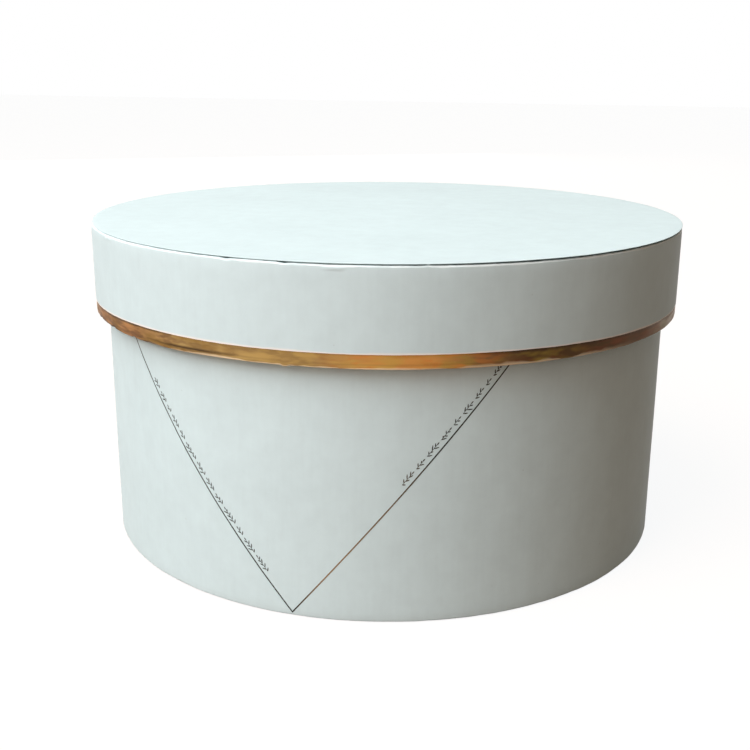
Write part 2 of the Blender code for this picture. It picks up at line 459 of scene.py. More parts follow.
def calculate(tree, operation, first, second=0.0, clamp=False):
    node = add_node(tree, "Math", {0: first, 1: second}, operation=operation, use_clamp=clamp)
    return node.outputs[0]


def multiply(tree, first, second):
    return calculate(tree, "MULTIPLY", first, second)


def blend(tree, share, first, second):
    node = add_node(tree, "Mix", {0: share, "A": first, "B": second}, data_type="RGBA")
    return node.outputs["Result"]


def spread(tree, value, low, high, new_low=0.0, new_high=1.0):
    """Stretches a value's range to a new one, and clamps it there."""
    inputs = {"Value": value, "From Min": low, "From Max": high, "To Min": new_low, "To Max": new_high}
    return add_node(tree, "MapRange", inputs).outputs[0]


def ripple(tree, place, scale, detail=2.0):
    return add_node(tree, "TexNoise", {"Vector": place, "Scale": scale, "Detail": detail}).outputs["Fac"]


def stretched(tree, place, along, up):
    """A place squeezed by different amounts round the box and up it."""
    factors = add_node(tree, "CombineXYZ", {"X": along, "Y": along, "Z": up}).outputs[0]
    return add_node(tree, "VectorMath", {0: place, 1: factors}, operation="MULTIPLY").outputs[0]


def kept_value(tree, name):
    """A value that the piece's vertices keep."""
    return add_node(tree, "Attribute", attribute_name=name).outputs["Fac"]


def tone_ramp(tree, value, tones):
    """Tones along a value, given as (share, colour) from 0 to 1."""
    node = add_node(tree, "ValToRGB", {0: value})
    stops = node.color_ramp.elements
    while len(stops) < len(tones):
        stops.new(1.0)
    for stop, (share, colour) in zip(stops, tones):
        stop.position = share
        stop.color = rgba(colour)
    return node.outputs["Color"]


def start_group(name, inputs, outputs):
    """A node group with named sockets. Its inputs are given as (name, kind, value)."""
    group = bpy.data.node_groups.new(name, "ShaderNodeTree")
    for label, kind, value in inputs:
        socket = group.interface.new_socket(label, in_out="INPUT", socket_type="NodeSocket" + kind)
        socket.default_value = value
    for label, kind in outputs:
        group.interface.new_socket(label, in_out="OUTPUT", socket_type="NodeSocket" + kind)
    given = group.nodes.new("NodeGroupInput").outputs
    place = add_node(group, "TexCoord").outputs["Object"]
    return group, given, place


def end_group(group, results):
    out = group.nodes.new("NodeGroupOutput")
    for name, socket in results.items():
        group.links.new(socket, out.inputs[name])
    return group


def make_paper_fibres():
    """Clouds, mottling, tooth and flecks of a paper, as its colour, its roughness and its height."""
    group, given, place = start_group(
        "paper_fibres",
        [
            ("Colour", "Color", (0.8, 0.8, 0.8, 1.0)),
            ("Fleck colour", "Color", (0.4, 0.4, 0.35, 1.0)),
            ("Mottling", "Float", 0.05),
            ("Flecks", "Float", 0.3),
            ("Low roughness", "Float", 0.5),
            ("High roughness", "Float", 0.65),
            ("Tooth", "Float", 0.004),
            ("Lumps", "Float", 0.03),
        ],
        [("Colour", "Color"), ("Roughness", "Float"), ("Height", "Float")],
    )
    tooth = ripple(group, place, 2600, 3)
    pulp = ripple(group, place, 330, 3)
    mottle = ripple(group, place, 120, 2)
    cloud = ripple(group, place, 22, 2)
    scuffs = ripple(group, stretched(group, place, 5.0, 0.45), 95, 3)
    uneven = 0.0
    for layer, share in ((tooth, 0.3), (pulp, 0.8), (mottle, 1.8), (cloud, 2.0), (scuffs, 1.0)):
        centred = calculate(group, "SUBTRACT", layer, 0.5)
        uneven = calculate(group, "ADD", multiply(group, centred, share), uneven)
    factor = calculate(group, "ADD", multiply(group, uneven, given["Mottling"]), 1.0)
    scaled = {0: given["Colour"], "Scale": factor}
    mottled = add_node(group, "VectorMath", scaled, operation="SCALE").outputs[0]
    specks = add_node(group, "TexVoronoi", {"Vector": place, "Scale": 130})
    near = spread(group, specks.outputs["Distance"], 0.06, 0.025)
    chosen = calculate(group, "GREATER_THAN", specks.outputs["Color"], 0.72)
    fleck = multiply(group, multiply(group, near, chosen), given["Flecks"])
    colour = blend(group, fleck, mottled, given["Fleck colour"])
    rough_share = calculate(group, "SUBTRACT", given["High roughness"], given["Low roughness"])
    rough = calculate(group, "ADD", multiply(group, pulp, rough_share), given["Low roughness"])
    grains = add_node(group, "TexVoronoi", {"Vector": place, "Scale": 190})
    pimple = spread(group, grains.outputs["Distance"], 0.16, 0.0)
    rare = calculate(group, "GREATER_THAN", grains.outputs["Color"], 0.6)
    lumps = calculate(group, "ADD", pulp, multiply(group, pimple, rare))
    toothed = multiply(group, tooth, given["Tooth"])
    lumpy = multiply(group, lumps, given["Lumps"])
    height = calculate(group, "ADD", toothed, lumpy)
    return end_group(group, {"Colour": colour, "Roughness": rough, "Height": height})


def make_edge_line():
    """A mask of the broken line that runs along a fold or a cut edge, by the distance to it."""
    group, given, place = start_group(
        "edge_line",
        [
            ("Distance", "Float", 0.0),
            ("Edge", "Float", 0.0),
            ("Reach", "Float", 0.0005),
            ("Break", "Float", 0.5),
            ("Scale", "Float", 60),
        ],
        [("Mask", "Float")],
    )
    beside = calculate(group, "SUBTRACT", given["Distance"], given["Edge"])
    distance = calculate(group, "ABSOLUTE", beside)
    chips = add_node(group, "TexNoise", {"Vector": place, "Scale": given["Scale"], "Detail": 3})
    whole = spread(group, chips.outputs["Fac"], 0.38, 0.6)
    loss = multiply(group, calculate(group, "SUBTRACT", 1.0, whole), given["Break"])
    reach = multiply(group, given["Reach"], calculate(group, "SUBTRACT", 1.0, loss))
    share = calculate(group, "DIVIDE", distance, calculate(group, "ADD", reach, 0.01 * mm))
    return end_group(group, {"Mask": calculate(group, "SUBTRACT", 1.0, share, clamp=True)})


def make_foil_creases():
    """Patches, streaks and fine wrinkles that run round a foil, as masks and a height."""
    masks = ["Patches", "Flushes", "Streaks", "Wrinkles"]
    outputs = [(name, "Float") for name in [*masks, "Height"]]
    group, given, place = start_group("foil_creases", [("Stretch", "Float", 9.0)], outputs)
    along = stretched(group, place, 1.0, given["Stretch"])
    patches = spread(group, ripple(group, stretched(group, place, 1.0, 3.0), 75, 2), 0.42, 0.58)
    flushes = spread(group, ripple(group, stretched(group, place, 1.0, 3.6), 95, 2), 0.5, 0.62)
    blotches = spread(group, ripple(group, stretched(group, place, 1.0, 1.6), 150, 2), 0.5, 0.72)
    streaks = spread(group, ripple(group, along, 60, 2), 0.3, 0.7)
    folds = ripple(group, stretched(group, place, 1.0, 1.5), 210, 3)
    ridge = calculate(group, "ABSOLUTE", calculate(group, "SUBTRACT", folds, 0.5))
    wrinkles = multiply(group, spread(group, ridge, 0.012, 0.0), blotches)
    fine = multiply(group, ripple(group, along, 300, 2), 0.3)
    crease = calculate(group, "ADD", ripple(group, along, 60, 2), fine)
    height = calculate(group, "ADD", crease, multiply(group, wrinkles, 0.35))
    results = dict(zip(masks, (patches, flushes, streaks, wrinkles)))
    return end_group(group, {**results, "Height": height})


def start_material(name, colour):
    material = bpy.data.materials.new(name)
    material.use_nodes = True
    material.diffuse_color = (*colour, 1.0)
    tree = material.node_tree
    return material, tree, tree.nodes["Principled BSDF"]


def use_group(tree, group, inputs):
    """Adds a node group. Its inputs are given as in add_node."""
    node = tree.nodes.new("ShaderNodeGroup")
    node.node_tree = group
    for name, value in inputs.items():
        if isinstance(value, bpy.types.NodeSocket):
            tree.links.new(value, node.inputs[name])
        else:
            node.inputs[name].default_value = value
    return node.outputs


def rgba(colour):
    return (*colour, 1.0)


def wire_surface(tree, shader, tint, rough, height, depth):
    """Feeds a shader its colour, its roughness and the bumps of its surface."""
    bump = add_node(tree, "Bump", {"Height": height, "Distance": depth, "Strength": 1.0})
    tree.links.new(tint, shader.inputs["Base Color"])
    tree.links.new(rough, shader.inputs["Roughness"])
    tree.links.new(bump.outputs["Normal"], shader.inputs["Normal"])


def draw_line(tree, tint, distance, line):
    """Adds a line to a tint, given by its edge, reach, break, scale, colour and strength."""
    edge, reach, gaps, scale, colour, strength = line
    inputs = {"Distance": distance, "Edge": edge, "Reach": reach, "Break": gaps, "Scale": scale}
    mask = use_group(tree, edge_line, inputs)["Mask"]
    return blend(tree, multiply(tree, mask, strength), tint, colour)


def paper_material(name, colour, settings, lines=None, crevice_colour=None):
    """A paper, with lines along the edges that its sheet keeps, and painted crevice shade where its mask
    marks the gap under the lid's disc.
    """
    material, tree, shader = start_material(name, colour)
    fibres = use_group(tree, paper_fibres, {"Colour": rgba(colour), **settings})
    tint = fibres["Colour"]
    for edge, line in (lines or {}).items():
        tint = draw_line(tree, tint, kept_value(tree, edge), line)
    # Painted shade of the crevice under the lid's disc
    if crevice_colour:
        tint = blend(tree, kept_value(tree, "crevice_mask"), tint, rgba(crevice_colour))
    wire_surface(tree, shader, tint, fibres["Roughness"], fibres["Height"], mm)
    shader.inputs["Specular IOR Level"].default_value = 0.25
    return material


def edging_material():
    """Gold foil paper of the edging. Its tones are painted round the box by X: partly the foil's own
    uneven tone, and partly painted light as the lamps fall and the foil reflects them, copper near the
    front and near black on the +X side. Its fold has a line of wear with a painted highlight, and a
    painted shadow lies under the wrap's cut edge at the sides.
    """
    brown = (0.25, 0.1, 0.022)
    amber = (0.31, 0.17, 0.045)
    gold = (0.37, 0.225, 0.08)
    copper = (0.6, 0.265, 0.065)
    bronze = (0.25, 0.12, 0.045)
    dark = (0.08, 0.04, 0.015)
    grey = (0.2, 0.165, 0.1)
    salmon = (0.55, 0.25, 0.095)
    pale_gold = (0.53, 0.355, 0.135)
    yellow = (0.53, 0.31, 0.065)
    olive = (0.25, 0.16, 0.03)
    plum = (0.13, 0.055, 0.03)
    earth = (0.25, 0.145, 0.055)
    rust = (0.6, 0.2, 0.045)
    russet = (0.14, 0.045, 0.018)
    cream = (0.92, 0.72, 0.48)
    tan = (0.55, 0.38, 0.23)
    smoke = (0.52, 0.4, 0.27)
    umber = (0.05, 0.028, 0.016)
    material, tree, shader = start_material("gold_edging_foil", gold)
    creases = use_group(tree, foil_creases, {"Stretch": 9.0})
    x = side_of_box(tree, "X")
    across = spread(tree, x, -150 * mm, 150 * mm)
    # Painted light and the foil's own tone: brown and amber at -X, gold at the front, copper a little
    # towards +X, near-black painted shade from about X = 96 mm on
    body_tones = [(0.02, amber), (0.13, brown), (0.23, amber), (0.35, amber), (0.43, gold)]
    body_tones += [(0.54, gold), (0.63, copper), (0.7, copper), (0.75, bronze)]
    body_tones += [(0.82, dark), (0.96, dark), (0.98, grey)]
    body = tone_ramp(tree, across, body_tones)
    patch_tones = [(0.04, pale_gold), (0.12, salmon), (0.22, salmon), (0.34, pale_gold)]
    patch_tones += [(0.66, yellow), (0.8, olive), (0.86, olive), (0.9, russet)]
    patches = tone_ramp(tree, across, patch_tones)
    flush_tones = [(0.04, earth), (0.12, plum), (0.3, plum), (0.36, earth), (0.54, earth)]
    flush_tones += [(0.6, rust), (0.74, rust), (0.8, russet)]
    flushes = tone_ramp(tree, across, flush_tones)
    fold_tones = [(0.26, umber), (0.31, tan), (0.4, cream), (0.6, cream), (0.74, tan)]
    fold_tones += [(0.87, smoke), (0.95, dark)]
    painted_light_and_wear = tone_ramp(tree, across, fold_tones)
    crumpled = spread(tree, x, -35 * mm, -50 * mm)
    aside = calculate(tree, "ABSOLUTE", calculate(tree, "SUBTRACT", x, 10 * mm))
    tint = blend(tree, multiply(tree, creases["Patches"], 0.7), body, patches)
    tint = blend(tree, multiply(tree, creases["Flushes"], 0.6), tint, flushes)
    dull = multiply(tree, creases["Streaks"], spread(tree, crumpled, 0.0, 1.0, 0.15, 0.4))
    tint = blend(tree, dull, tint, rgba(umber))
    # Painted glints on the foil's wrinkles, strongest within 60 mm of X = 10 mm
    glinting = spread(tree, aside, 95 * mm, 60 * mm, 0.1, 0.5)
    glints = multiply(tree, creases["Wrinkles"], glinting)
    tint = blend(tree, glints, tint, rgba(pale_gold))
    # Painted shadow under the wrap's cut edge, at the sides of the box, where |X - 10 mm| passes 60 mm
    cut_shadow_strength = spread(tree, aside, 60 * mm, 80 * mm, 0.1, 0.9)
    cut_shadow_reach = spread(tree, x, 60 * mm, 90 * mm, 1.0 * mm, 1.7 * mm)
    cut = kept_value(tree, "cut_distance")
    tint = draw_line(tree, tint, cut, (-0.35 * mm, cut_shadow_reach, 0.5, 70, rgba(umber), cut_shadow_strength))
    above_fold = kept_value(tree, "edge_distance")
    from_crease = calculate(tree, "ABSOLUTE", calculate(tree, "ADD", x, 46 * mm))
    crease = spread(tree, from_crease, 26 * mm, 8 * mm, 0.2, 0.95)
    tint = draw_line(tree, tint, above_fold, (2.0 * mm, 0.9 * mm, 0.95, 28, rgba(umber), crease))
    # Wear along the fold with a painted highlight: umber at -X, cream at the front, tan and smoke
    # towards +X, dark at the +X side
    fold_line_reach = spread(tree, x, 60 * mm, 90 * mm, 1.0 * mm, 1.9 * mm)
    tint = draw_line(tree, tint, above_fold, (0.35 * mm, fold_line_reach, 0.97, 48, painted_light_and_wear, 1.0))
    lap = kept_value(tree, "lap_distance")
    tint = draw_line(tree, tint, lap, (0.0, 0.6 * mm, 0.3, 60, rgba(cream), 0.8))
    rough = calculate(tree, "ADD", multiply(tree, creases["Streaks"], 0.15), 0.3)
    wire_surface(tree, shader, tint, rough, creases["Height"], 0.06 * mm)
    shader.inputs["Metallic"].default_value = 0.35
    shader.inputs["Specular IOR Level"].default_value = 0.1
    shader.inputs["Specular Tint"].default_value = rgba((0.75, 0.6, 0.45))
    return material


def side_of_box(tree, axis):
    """A place's distance from the box's middle along an axis."""
    place = add_node(tree, "TexCoord").outputs["Object"]
    return add_node(tree, "SeparateXYZ", {0: place}).outputs[axis]


def stamping_material():
    """Stamped foil of the chevron: dull gold, with a painted dark reflection over the left arm and
    towards the top of both arms, and random darker spots.
    """
    dull_gold = (0.27, 0.165, 0.08)
    dark = (0.028, 0.03, 0.024)
    material, tree, shader = start_material("gold_stamping_foil", dull_gold)
    creases = use_group(tree, foil_creases, {"Stretch": 1.0})
    # Painted dark reflection over the left arm and towards the top of both arms
    dark_left_reflection = spread(tree, side_of_box(tree, "X"), 14 * mm, 0.0)
    dark_upper_reflection = spread(tree, side_of_box(tree, "Z"), 35 * mm, 80 * mm, 0.0, 0.95)
    dark_reflections = calculate(tree, "MAXIMUM", dark_left_reflection, dark_upper_reflection)
    spots = multiply(tree, creases["Streaks"], 0.25)
    painted_light_and_wear = calculate(tree, "ADD", dark_reflections, spots, clamp=True)
    tint = blend(tree, painted_light_and_wear, rgba(dull_gold), rgba(dark))
    rough = calculate(tree, "ADD", multiply(tree, creases["Patches"], 0.2), 0.3)
    wire_surface(tree, shader, tint, rough, creases["Height"], 0.01 * mm)
    shader.inputs["Metallic"].default_value = 0.4
    shader.inputs["Specular IOR Level"].default_value = 0.1
    return material


paper_fibres = make_paper_fibres()
edge_line = make_edge_line()
foil_creases = make_foil_creases()

# Places that the frame gives
wrap_low, wrap_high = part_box("lid_side_wrap")
edging_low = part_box("lid_gold_edging")[0]
top_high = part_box("lid_top_sheet")[1]
lid_lining_low, lid_lining_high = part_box("lid_wall_lining")
ceiling_low, ceiling_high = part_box("lid_ceiling_lining")
base_low, base_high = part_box("base_side_wrap")
base_lining_low, base_lining_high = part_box("base_wall_lining")
floor_low, floor_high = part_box("base_floor_lining")
foot_low, foot_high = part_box("base_foot_sheet")

# The walls stand inside those places by what the laps and waves add to them
lid_radius = wrap_high.x - lap_lift - wave_room
base_radius = base_high.x - lap_lift - wave_room
foot_height = foot_card + foot_gap

mint = (0.69, 0.815, 0.825)
# The lid's side paper is the same mint, painted about 3% darker as shade
shaded_lid_mint = (0.672, 0.79, 0.8)
mint_paper = {"Mottling": 0.05, "Flecks": 0.3, "Fleck colour": (0.4, 0.45, 0.42, 1.0)}
white = (0.86, 0.87, 0.84)
# A painted highlight along the top of the lid wrap's fold
fold_highlight = (0.93, 1.0, 1.0)
cream = (1.0, 0.9, 0.83)
# Dark teal, painted as the shade in the crevice under the lid's disc and along the laps' ends
crevice_shade = (0.012, 0.1, 0.105)
# A painted shade line along the end of each wrap's lap
lap_shade_line = (0.0, 0.5 * mm, 0.4, 60, rgba(crevice_shade), 0.35)
lid_lines = {
    "lap_distance": lap_shade_line,
    "edge_distance": (0.1 * mm, 1.0 * mm, 0.5, 45, rgba(cream), 1.0),
    # Painted highlight along the fold's top
    "fold_distance": (-0.5 * mm, 0.9 * mm, 0.85, 60, rgba(fold_highlight), 1.0),
}
cover_lid = paper_material("mint_paper_lid_side", shaded_lid_mint, mint_paper, lid_lines, crevice_shade)
cover_top = paper_material("mint_paper_lid_top", mint, {**mint_paper, "Flecks": 0.12}, crevice_colour=crevice_shade)
base_lines = {"lap_distance": lap_shade_line, "edge_distance": (0.0, 0.9 * mm, 0.7, 60, rgba(white), 0.4)}
cover_base = paper_material("mint_paper_base", mint, mint_paper, base_lines)
lining_white = (0.83, 0.83, 0.79)
white_paper = paper_material("white_lining_paper", lining_white, {"Mottling": 0.04, "Flecks": 0.3})
board = paper_material(
    "greyboard",
    (0.32, 0.30, 0.26),
    {"Mottling": 0.25, "Flecks": 0.9, "Fleck colour": (0.55, 0.53, 0.48, 1.0), "Tooth": 0.012},
)
gold_band = edging_material()
gold_line = stamping_material()


def tab_of(angle):
    """The number of the lid's tab at an angle."""
    column = (turned_from(angle, back + math.pi) + math.pi) / full_turn * ring_columns
    return bisect.bisect_right(tab_edges(ring_columns)[1:-1], column)


def disc_side(angle):
    """1 where the top disc reaches out over the wrap's fold, 0 where it bares the fold."""
    return (1 + math.cos(angle - disc_shift_angle)) / 2


def fold_swelling(angle, place, tail):
    """How far the wrap stands off its fold by a place: a swelling with one steep end and a long tail."""
    beside = turned_from(angle, place)
    return smooth_step(-tail, -tail / 4, beside) * smooth_step(math.radians(0.8), 0, beside)


def fold_nick(angle):
    """Where the wrap's fold is pushed up against the disc."""
    return bump_at(angle, fold_nick_angle, nick_width)


def sag(angle):
    """How much lower the lid's papers were cut and folded towards its sides."""
    return side_sag * smooth_step(math.radians(25), math.radians(75), abs(turned_from(angle, front)))


def lid_fold(angle):
    """Radius of the wrap's fold and height of its top: rounder and fuller where the disc bares it."""
    over = disc_side(angle)
    rise = fold_rise - fold_rise_loss * over + edge_wave(angle, "lid fold")
    rise += tab_lift * noise.noise(Vector((tab_of(angle) * 2.3, 0.6, 0.2)))
    rise -= dip_depth * sum(bump_at(angle, place, dip_width) for place in fold_dip_angles)
    rise = min(rise, fold_rise_limit) + nick_height * fold_nick(angle)
    radius = fold_radius - fold_radius_loss * over + fold_bend * ring_noise(angle, 9.0, 7.3)
    radius += (fold_scallop - fold_scallop_loss * over) * ring_noise(angle, 38.0, 2.6)
    lumps = corner_lump * smooth_step(-0.05, 0.05, ring_noise(angle, 52.0, 1.9))
    radius += lumps * fold_swelling(angle, fold_corner_angle, corner_lump_tail)
    radius += blister_lump * fold_swelling(angle, fold_blister_angle, blister_tail)
    return min(max(radius, least_fold_radius), most_fold_radius), wrap_high.z + rise


def lid_fold_top(angle):
    return lid_fold(angle)[1]


def lid_cut(angle):
    """Height of the wrap's lower cut edge."""
    return wrap_low.z + lid_cut_inset + edge_wave(angle, "lid cut") - sag(angle)


def lid_side_section(angle):
    """Covering paper of the lid: up the wall, over the fold and in over the lid's top board."""
    fold, top = lid_fold(angle)
    bottom = lid_cut(angle)
    blister = blister_depth * fold_swelling(angle, fold_blister_angle, blister_tail)
    blister += corner_depth * fold_swelling(angle, fold_corner_angle, corner_tail)
    lean_foot = top - lean_height
    inner = lid_radius - fold
    glued = inner - glued_flat
    bulge_start, bulge_full, bulge_end = bulge_rows
    rows = [(lid_radius, bottom)]
    rows += run((lid_radius, bottom), (lid_radius, lean_foot), 20)
    rows += run((lid_radius, lean_foot), (lid_radius, top - fold), 11)[:-1]
    rows += arc(inner, top - fold, fold, 0, 90, 7)
    rows += [(glued, top)]
    rows += run((glued, top), (inner - lid_margin, wrap_high.z - margin_drop), 4)
    waved = []
    for radius, height in rows:
        near_top = smooth_step(top - bulge_start, top - bulge_full, height)
        near_top *= smooth_step(top, top - bulge_end, height)
        lean = lean_depth * (max(height - lean_foot, 0.0) / lean_height) ** 2
        standing = wall_wave(radius, angle, height, lid_wall_seed) + blister * near_top - lean
        waved.append((radius + standing, height))
    return waved


def build_lid_side_paper():
    last = len(lid_side_section(back)) - 1
    edges = {"edge_distance": lid_cut, "fold_distance": lid_fold_top}
    bm = roll_sheet(lid_side_section, wrap_paper, margin=(last - 4, last), edges=edges)
    add_piece("lid_side_paper", bm, cover_lid, "lid", "lid_side_wrap")


def edging_fold(angle):
    """Height of the edging's lower fold: it wanders, is jagged at the left and hangs at its joint."""
    jags = jag_height * smooth_step(0.05, 0.2, ring_noise(angle, 45.0, 8.1))
    jags *= smooth_step(-0.3, -0.6, math.cos(angle))
    hang = edging_hang + slack_hang * bump_at(angle, slack_angle, slack_width)
    hang += joint_hang * bump_at(angle, edging_joint_angle, joint_width)
    hang += edging_sag_share * sag(angle)
    return edging_low.z + edge_wave(angle, "gold fold") + jags - hang


def gold_section(angle):
    """Gold foil paper: up inside the lid, round its lower edge and up under the covering paper."""
    outer = lid_radius - wrap_paper - edging_gap
    inner = lid_lining_high.x + edging_lining_gap
    bottom = edging_fold(angle)
    turn = outer_turn + edge_wave(angle, "gold turn")
    inner_top = edging_low.z + inner_leg
    tucked = wrap_low.z + tucked_from
    rows = [(inner, inner_top)]
    rows += run((inner, inner_top), (inner, bottom + inner_turn), 5)[:-1]
    rows += arc(inner + inner_turn, bottom + inner_turn, inner_turn, 180, 270, 5)
    rows += arc(outer - turn, bottom + turn, turn, 270, 360, 6)
    rows += run((outer, bottom + turn), (outer, tucked), 10)
    rows += run((outer, tucked), (outer, wrap_low.z + tucked_to), 2)
    creased = []
    middle = (inner + outer) / 2
    for radius, height in rows:
        side = 1 if radius > middle else -1
        crinkle = noise.noise(polar(crinkles_round, angle, height / crinkle_height))
        free = 1 - smooth_step(wrap_low.z - mm, wrap_low.z, height)
        wave = wall_wave(radius, angle, height, lid_wall_seed)
        creased.append((radius + wave + side * foil_crinkle * crinkle * free, height))
    return creased


def build_gold_band():
    edges = {"edge_distance": edging_fold, "cut_distance": lid_cut}
    bm = roll_sheet(gold_section, edging_paper, edges=edges)
    add_piece("lid_gold_band", bm, gold_band, "lid", "lid_gold_edging")


def build_lid_top_paper():
    """Card disc on the lid, cut by hand and glued on a little to one side. Its cut edge and underside
    are painted dark, as the shade in the crevice under the disc's edge.
    """
    top = top_high.z - disc_drop
    rows = card_rows(disc_radius, top - top_card, top, top_card_round, 16)
    bm = turn_profile(rows, ring_columns)
    depth, length = top_card_wave
    shift = disc_shift * Vector((math.cos(disc_shift_angle), math.sin(disc_shift_angle), 0))
    crevice_mask = bm.verts.layers.float.new("crevice_mask")
    for vert in bm.verts:
        angle = math.atan2(vert.co.y, vert.co.x)
        over = disc_side(angle)
        out = vert.co.xy.length / disc_radius
        wave = depth * noise.noise(Vector((vert.co.x, vert.co.y, 0.3 * mm)) / length)
        pressed = disc_pressed * (1 - over) * out**4
        grown = vert.co.xy * (1 + edge_wave(angle, "disc cut") / disc_radius * out**8)
        # Painted crevice shade on the cut edge and underside: stronger where the disc reaches out over
        # the fold, broken at the nick
        dark = (0.3 + 0.7 * over) * (1 - fold_nick(angle))
        vert[crevice_mask] = smooth_step(0.03 * mm, 0.1 * mm, top - vert.co.z) * dark
        vert.co = Vector((*grown, vert.co.z + wave - pressed)) + shift
    add_piece("lid_top_paper", bm, cover_top, "lid", "lid_top_sheet")


def lid_lining_section(angle):
    """White paper inside the lid, its lower edge cut a little unevenly over the gold."""
    radius = lid_lining_high.x - lining_paper
    bottom = lid_lining_low.z + lid_lining_inset + edge_wave(angle, "lid lining")
    rows = [(radius, lid_lining_high.z)] + run((radius, lid_lining_high.z), (radius, bottom), 10)
    return [(r - abs(wall_wave(r, angle, z, lid_lining_seed)), z) for r, z in rows]


def base_lining_section(angle):
    """White paper inside the base, its upper edge below the turned-in covering paper."""
    radius = base_lining_high.x - lining_paper
    top = base_lining_high.z - base_lining_inset - edge_wave(angle, "base lining")
    rows = [(radius, top)] + run((radius, top), (radius, base_lining_low.z), 24)
    return [(r - abs(wall_wave(r, angle, z, base_lining_seed)), z) for r, z in rows]


def build_lining_disc(name, body, node, low, high):
    rows = card_rows(high.x, high.z - lining_disc_paper, high.z, lining_disc_round, 14)
    bm = turn_profile(rows, hidden_columns)
    depth, length = lining_disc_wave
    for vert in bm.verts:
        vert.co.z += depth * noise.noise(Vector((vert.co.x, vert.co.y, 1.7 * mm)) / length)
        vert.co.z = max(vert.co.z, low.z)
    add_piece(name, bm, white_paper, body, node)


def build_linings():
    wall = roll_sheet(lid_lining_section, lining_paper)
    add_piece("lid_inner_paper", wall, white_paper, "lid", "lid_wall_lining")
    wall = roll_sheet(base_lining_section, lining_paper)
    add_piece("base_inner_paper", wall, white_paper, "base", "base_wall_lining")
    build_lining_disc("lid_ceiling_paper", "lid", "lid_ceiling_lining", ceiling_low, ceiling_high)
    build_lining_disc("base_floor_paper", "base", "base_floor_lining", floor_low, floor_high)


def build_foot_card():
    """White card on which the box stands."""
    rows = card_rows(foot_high.x, foot_low.z, foot_low.z + foot_card, foot_card_round, 14)
    bm = turn_profile(rows, hidden_columns)
    add_piece("base_foot_card", bm, white_paper, "base", "base_foot_sheet")


def base_foot(angle):
    """Height of the base wrap's fold at the foot."""
    return foot_height + edge_wave(angle, "base foot")


def base_side_section(angle):
    """Covering paper of the base: in under the foot, up the wall, over the rim and down inside."""
    rim = base_high.z
    rim_turn = rim_turn_radius + edge_wave(angle, "base rim turn")
    foot_turn = foot_turn_radius + edge_wave(angle, "base foot turn")
    foot = base_foot(angle)
    inner = base_lining_high.x + wrap_lining_gap
    root = base_radius - foot_turn
    rows = [(root - foot_margin, foot_height)]
    rows += run((root - foot_margin, foot_height), (root, foot), 4)[:-1]
    rows += arc(root, foot + foot_turn, foot_turn, 270, 360, 5)
    rows += run((base_radius, foot + foot_turn), (base_radius, rim - rim_turn), 40)[:-1]
    rows += arc(base_radius - rim_turn, rim - rim_turn, rim_turn, 0, 90, 4)
    rows += arc(inner + rim_turn, rim - rim_turn, rim_turn, 90, 180, 4)
    rows += run((inner, rim - rim_turn), (inner, rim - rim_margin), 4)
    waved = []
    for radius, height in rows:
        outside = smooth_step(base_radius - 2 * mm, base_radius - 0.5 * mm, radius)
        wave = wall_wave(base_radius, angle, height, base_wall_seed)
        waved.append((radius + outside * wave, height))
    return waved


def build_base_side_paper():
    edges = {"edge_distance": base_foot}
    bm = roll_sheet(base_side_section, wrap_paper, margin=(4, 0), edges=edges)
    add_piece("base_side_paper", bm, cover_base, "base", "base_side_wrap")


def lay_on_wall(bm):
    """Lays flat foil, drawn as (arc, height), on the base's wall, its middle at the front."""
    for vert in bm.verts:
        angle = front + vert.co.x / base_radius
        height = vert.co.y
        wall = base_radius + wall_wave(base_radius, angle, height, base_wall_seed)
        vert.co = polar(wall + foil_lift + vert.co.z, angle, height)


def raise_foil(bm):
    """Gives flat foil shapes their thickness and lays them on the base."""
    raised = bmesh.ops.extrude_face_region(bm, geom=bm.faces[:], use_keep_orig=True)
    tops = [part for part in raised["geom"] if isinstance(part, bmesh.types.BMVert)]
    bmesh.ops.translate(bm, verts=tops, vec=(0, 0, foil_film))
    bmesh.ops.recalc_face_normals(bm, faces=bm.faces)
    lay_on_wall(bm)


chevron_foot = base_low.z + chevron_lift


def build_foil_lines():
    """Two straight lines of foil that meet in a point at the foot."""
    length = (base_high.z - chevron_top_gap - chevron_foot) / math.sin(chevron_slope)
    overrun = 3 * line_width
    bm = bmesh.new()
    bmesh.ops.create_grid(bm, x_segments=150, y_segments=1, size=0.5)
    bmesh.ops.scale(bm, verts=bm.verts, vec=(length + overrun, line_width, 1))
    bmesh.ops.translate(bm, verts=bm.verts, vec=((length - overrun) / 2, 0, 0))
    bmesh.ops.rotate(bm, verts=bm.verts, matrix=Matrix.Rotation(chevron_slope, 3, "Z"))
    bmesh.ops.translate(bm, verts=bm.verts, vec=(0, chevron_foot, 0))
    bmesh.ops.bisect_plane(
        bm,
        geom=bm.verts[:] + bm.edges[:] + bm.faces[:],
        plane_co=(0, 0, 0),
        plane_no=(1, 0, 0),
        clear_inner=True,
    )
    arm = bm.verts[:] + bm.edges[:] + bm.faces[:]
    bmesh.ops.mirror(bm, geom=arm, axis="X", merge_dist=0.01 * mm)
    raise_foil(bm)
    add_piece("foil_lines", bm, gold_line, "base", "foil_chevron")


def draw_leaf(bm, place, heading, length):
    """A small pointed leaf, its stalk end at a place."""
    leaf = bmesh.ops.create_circle(bm, cap_ends=True, segments=10, radius=1.0)["verts"]
    for vert in leaf:
        vert.co.y *= abs(vert.co.y) ** 0.5
    bmesh.ops.scale(bm, verts=leaf, vec=(length / 2, leaf_width / 2, 1))
    bmesh.ops.translate(bm, verts=leaf, vec=(length / 2, 0, 0))
    bmesh.ops.rotate(bm, verts=leaf, matrix=Matrix.Rotation(heading, 3, "Z"))
    bmesh.ops.translate(bm, verts=leaf, vec=(*place, 0))


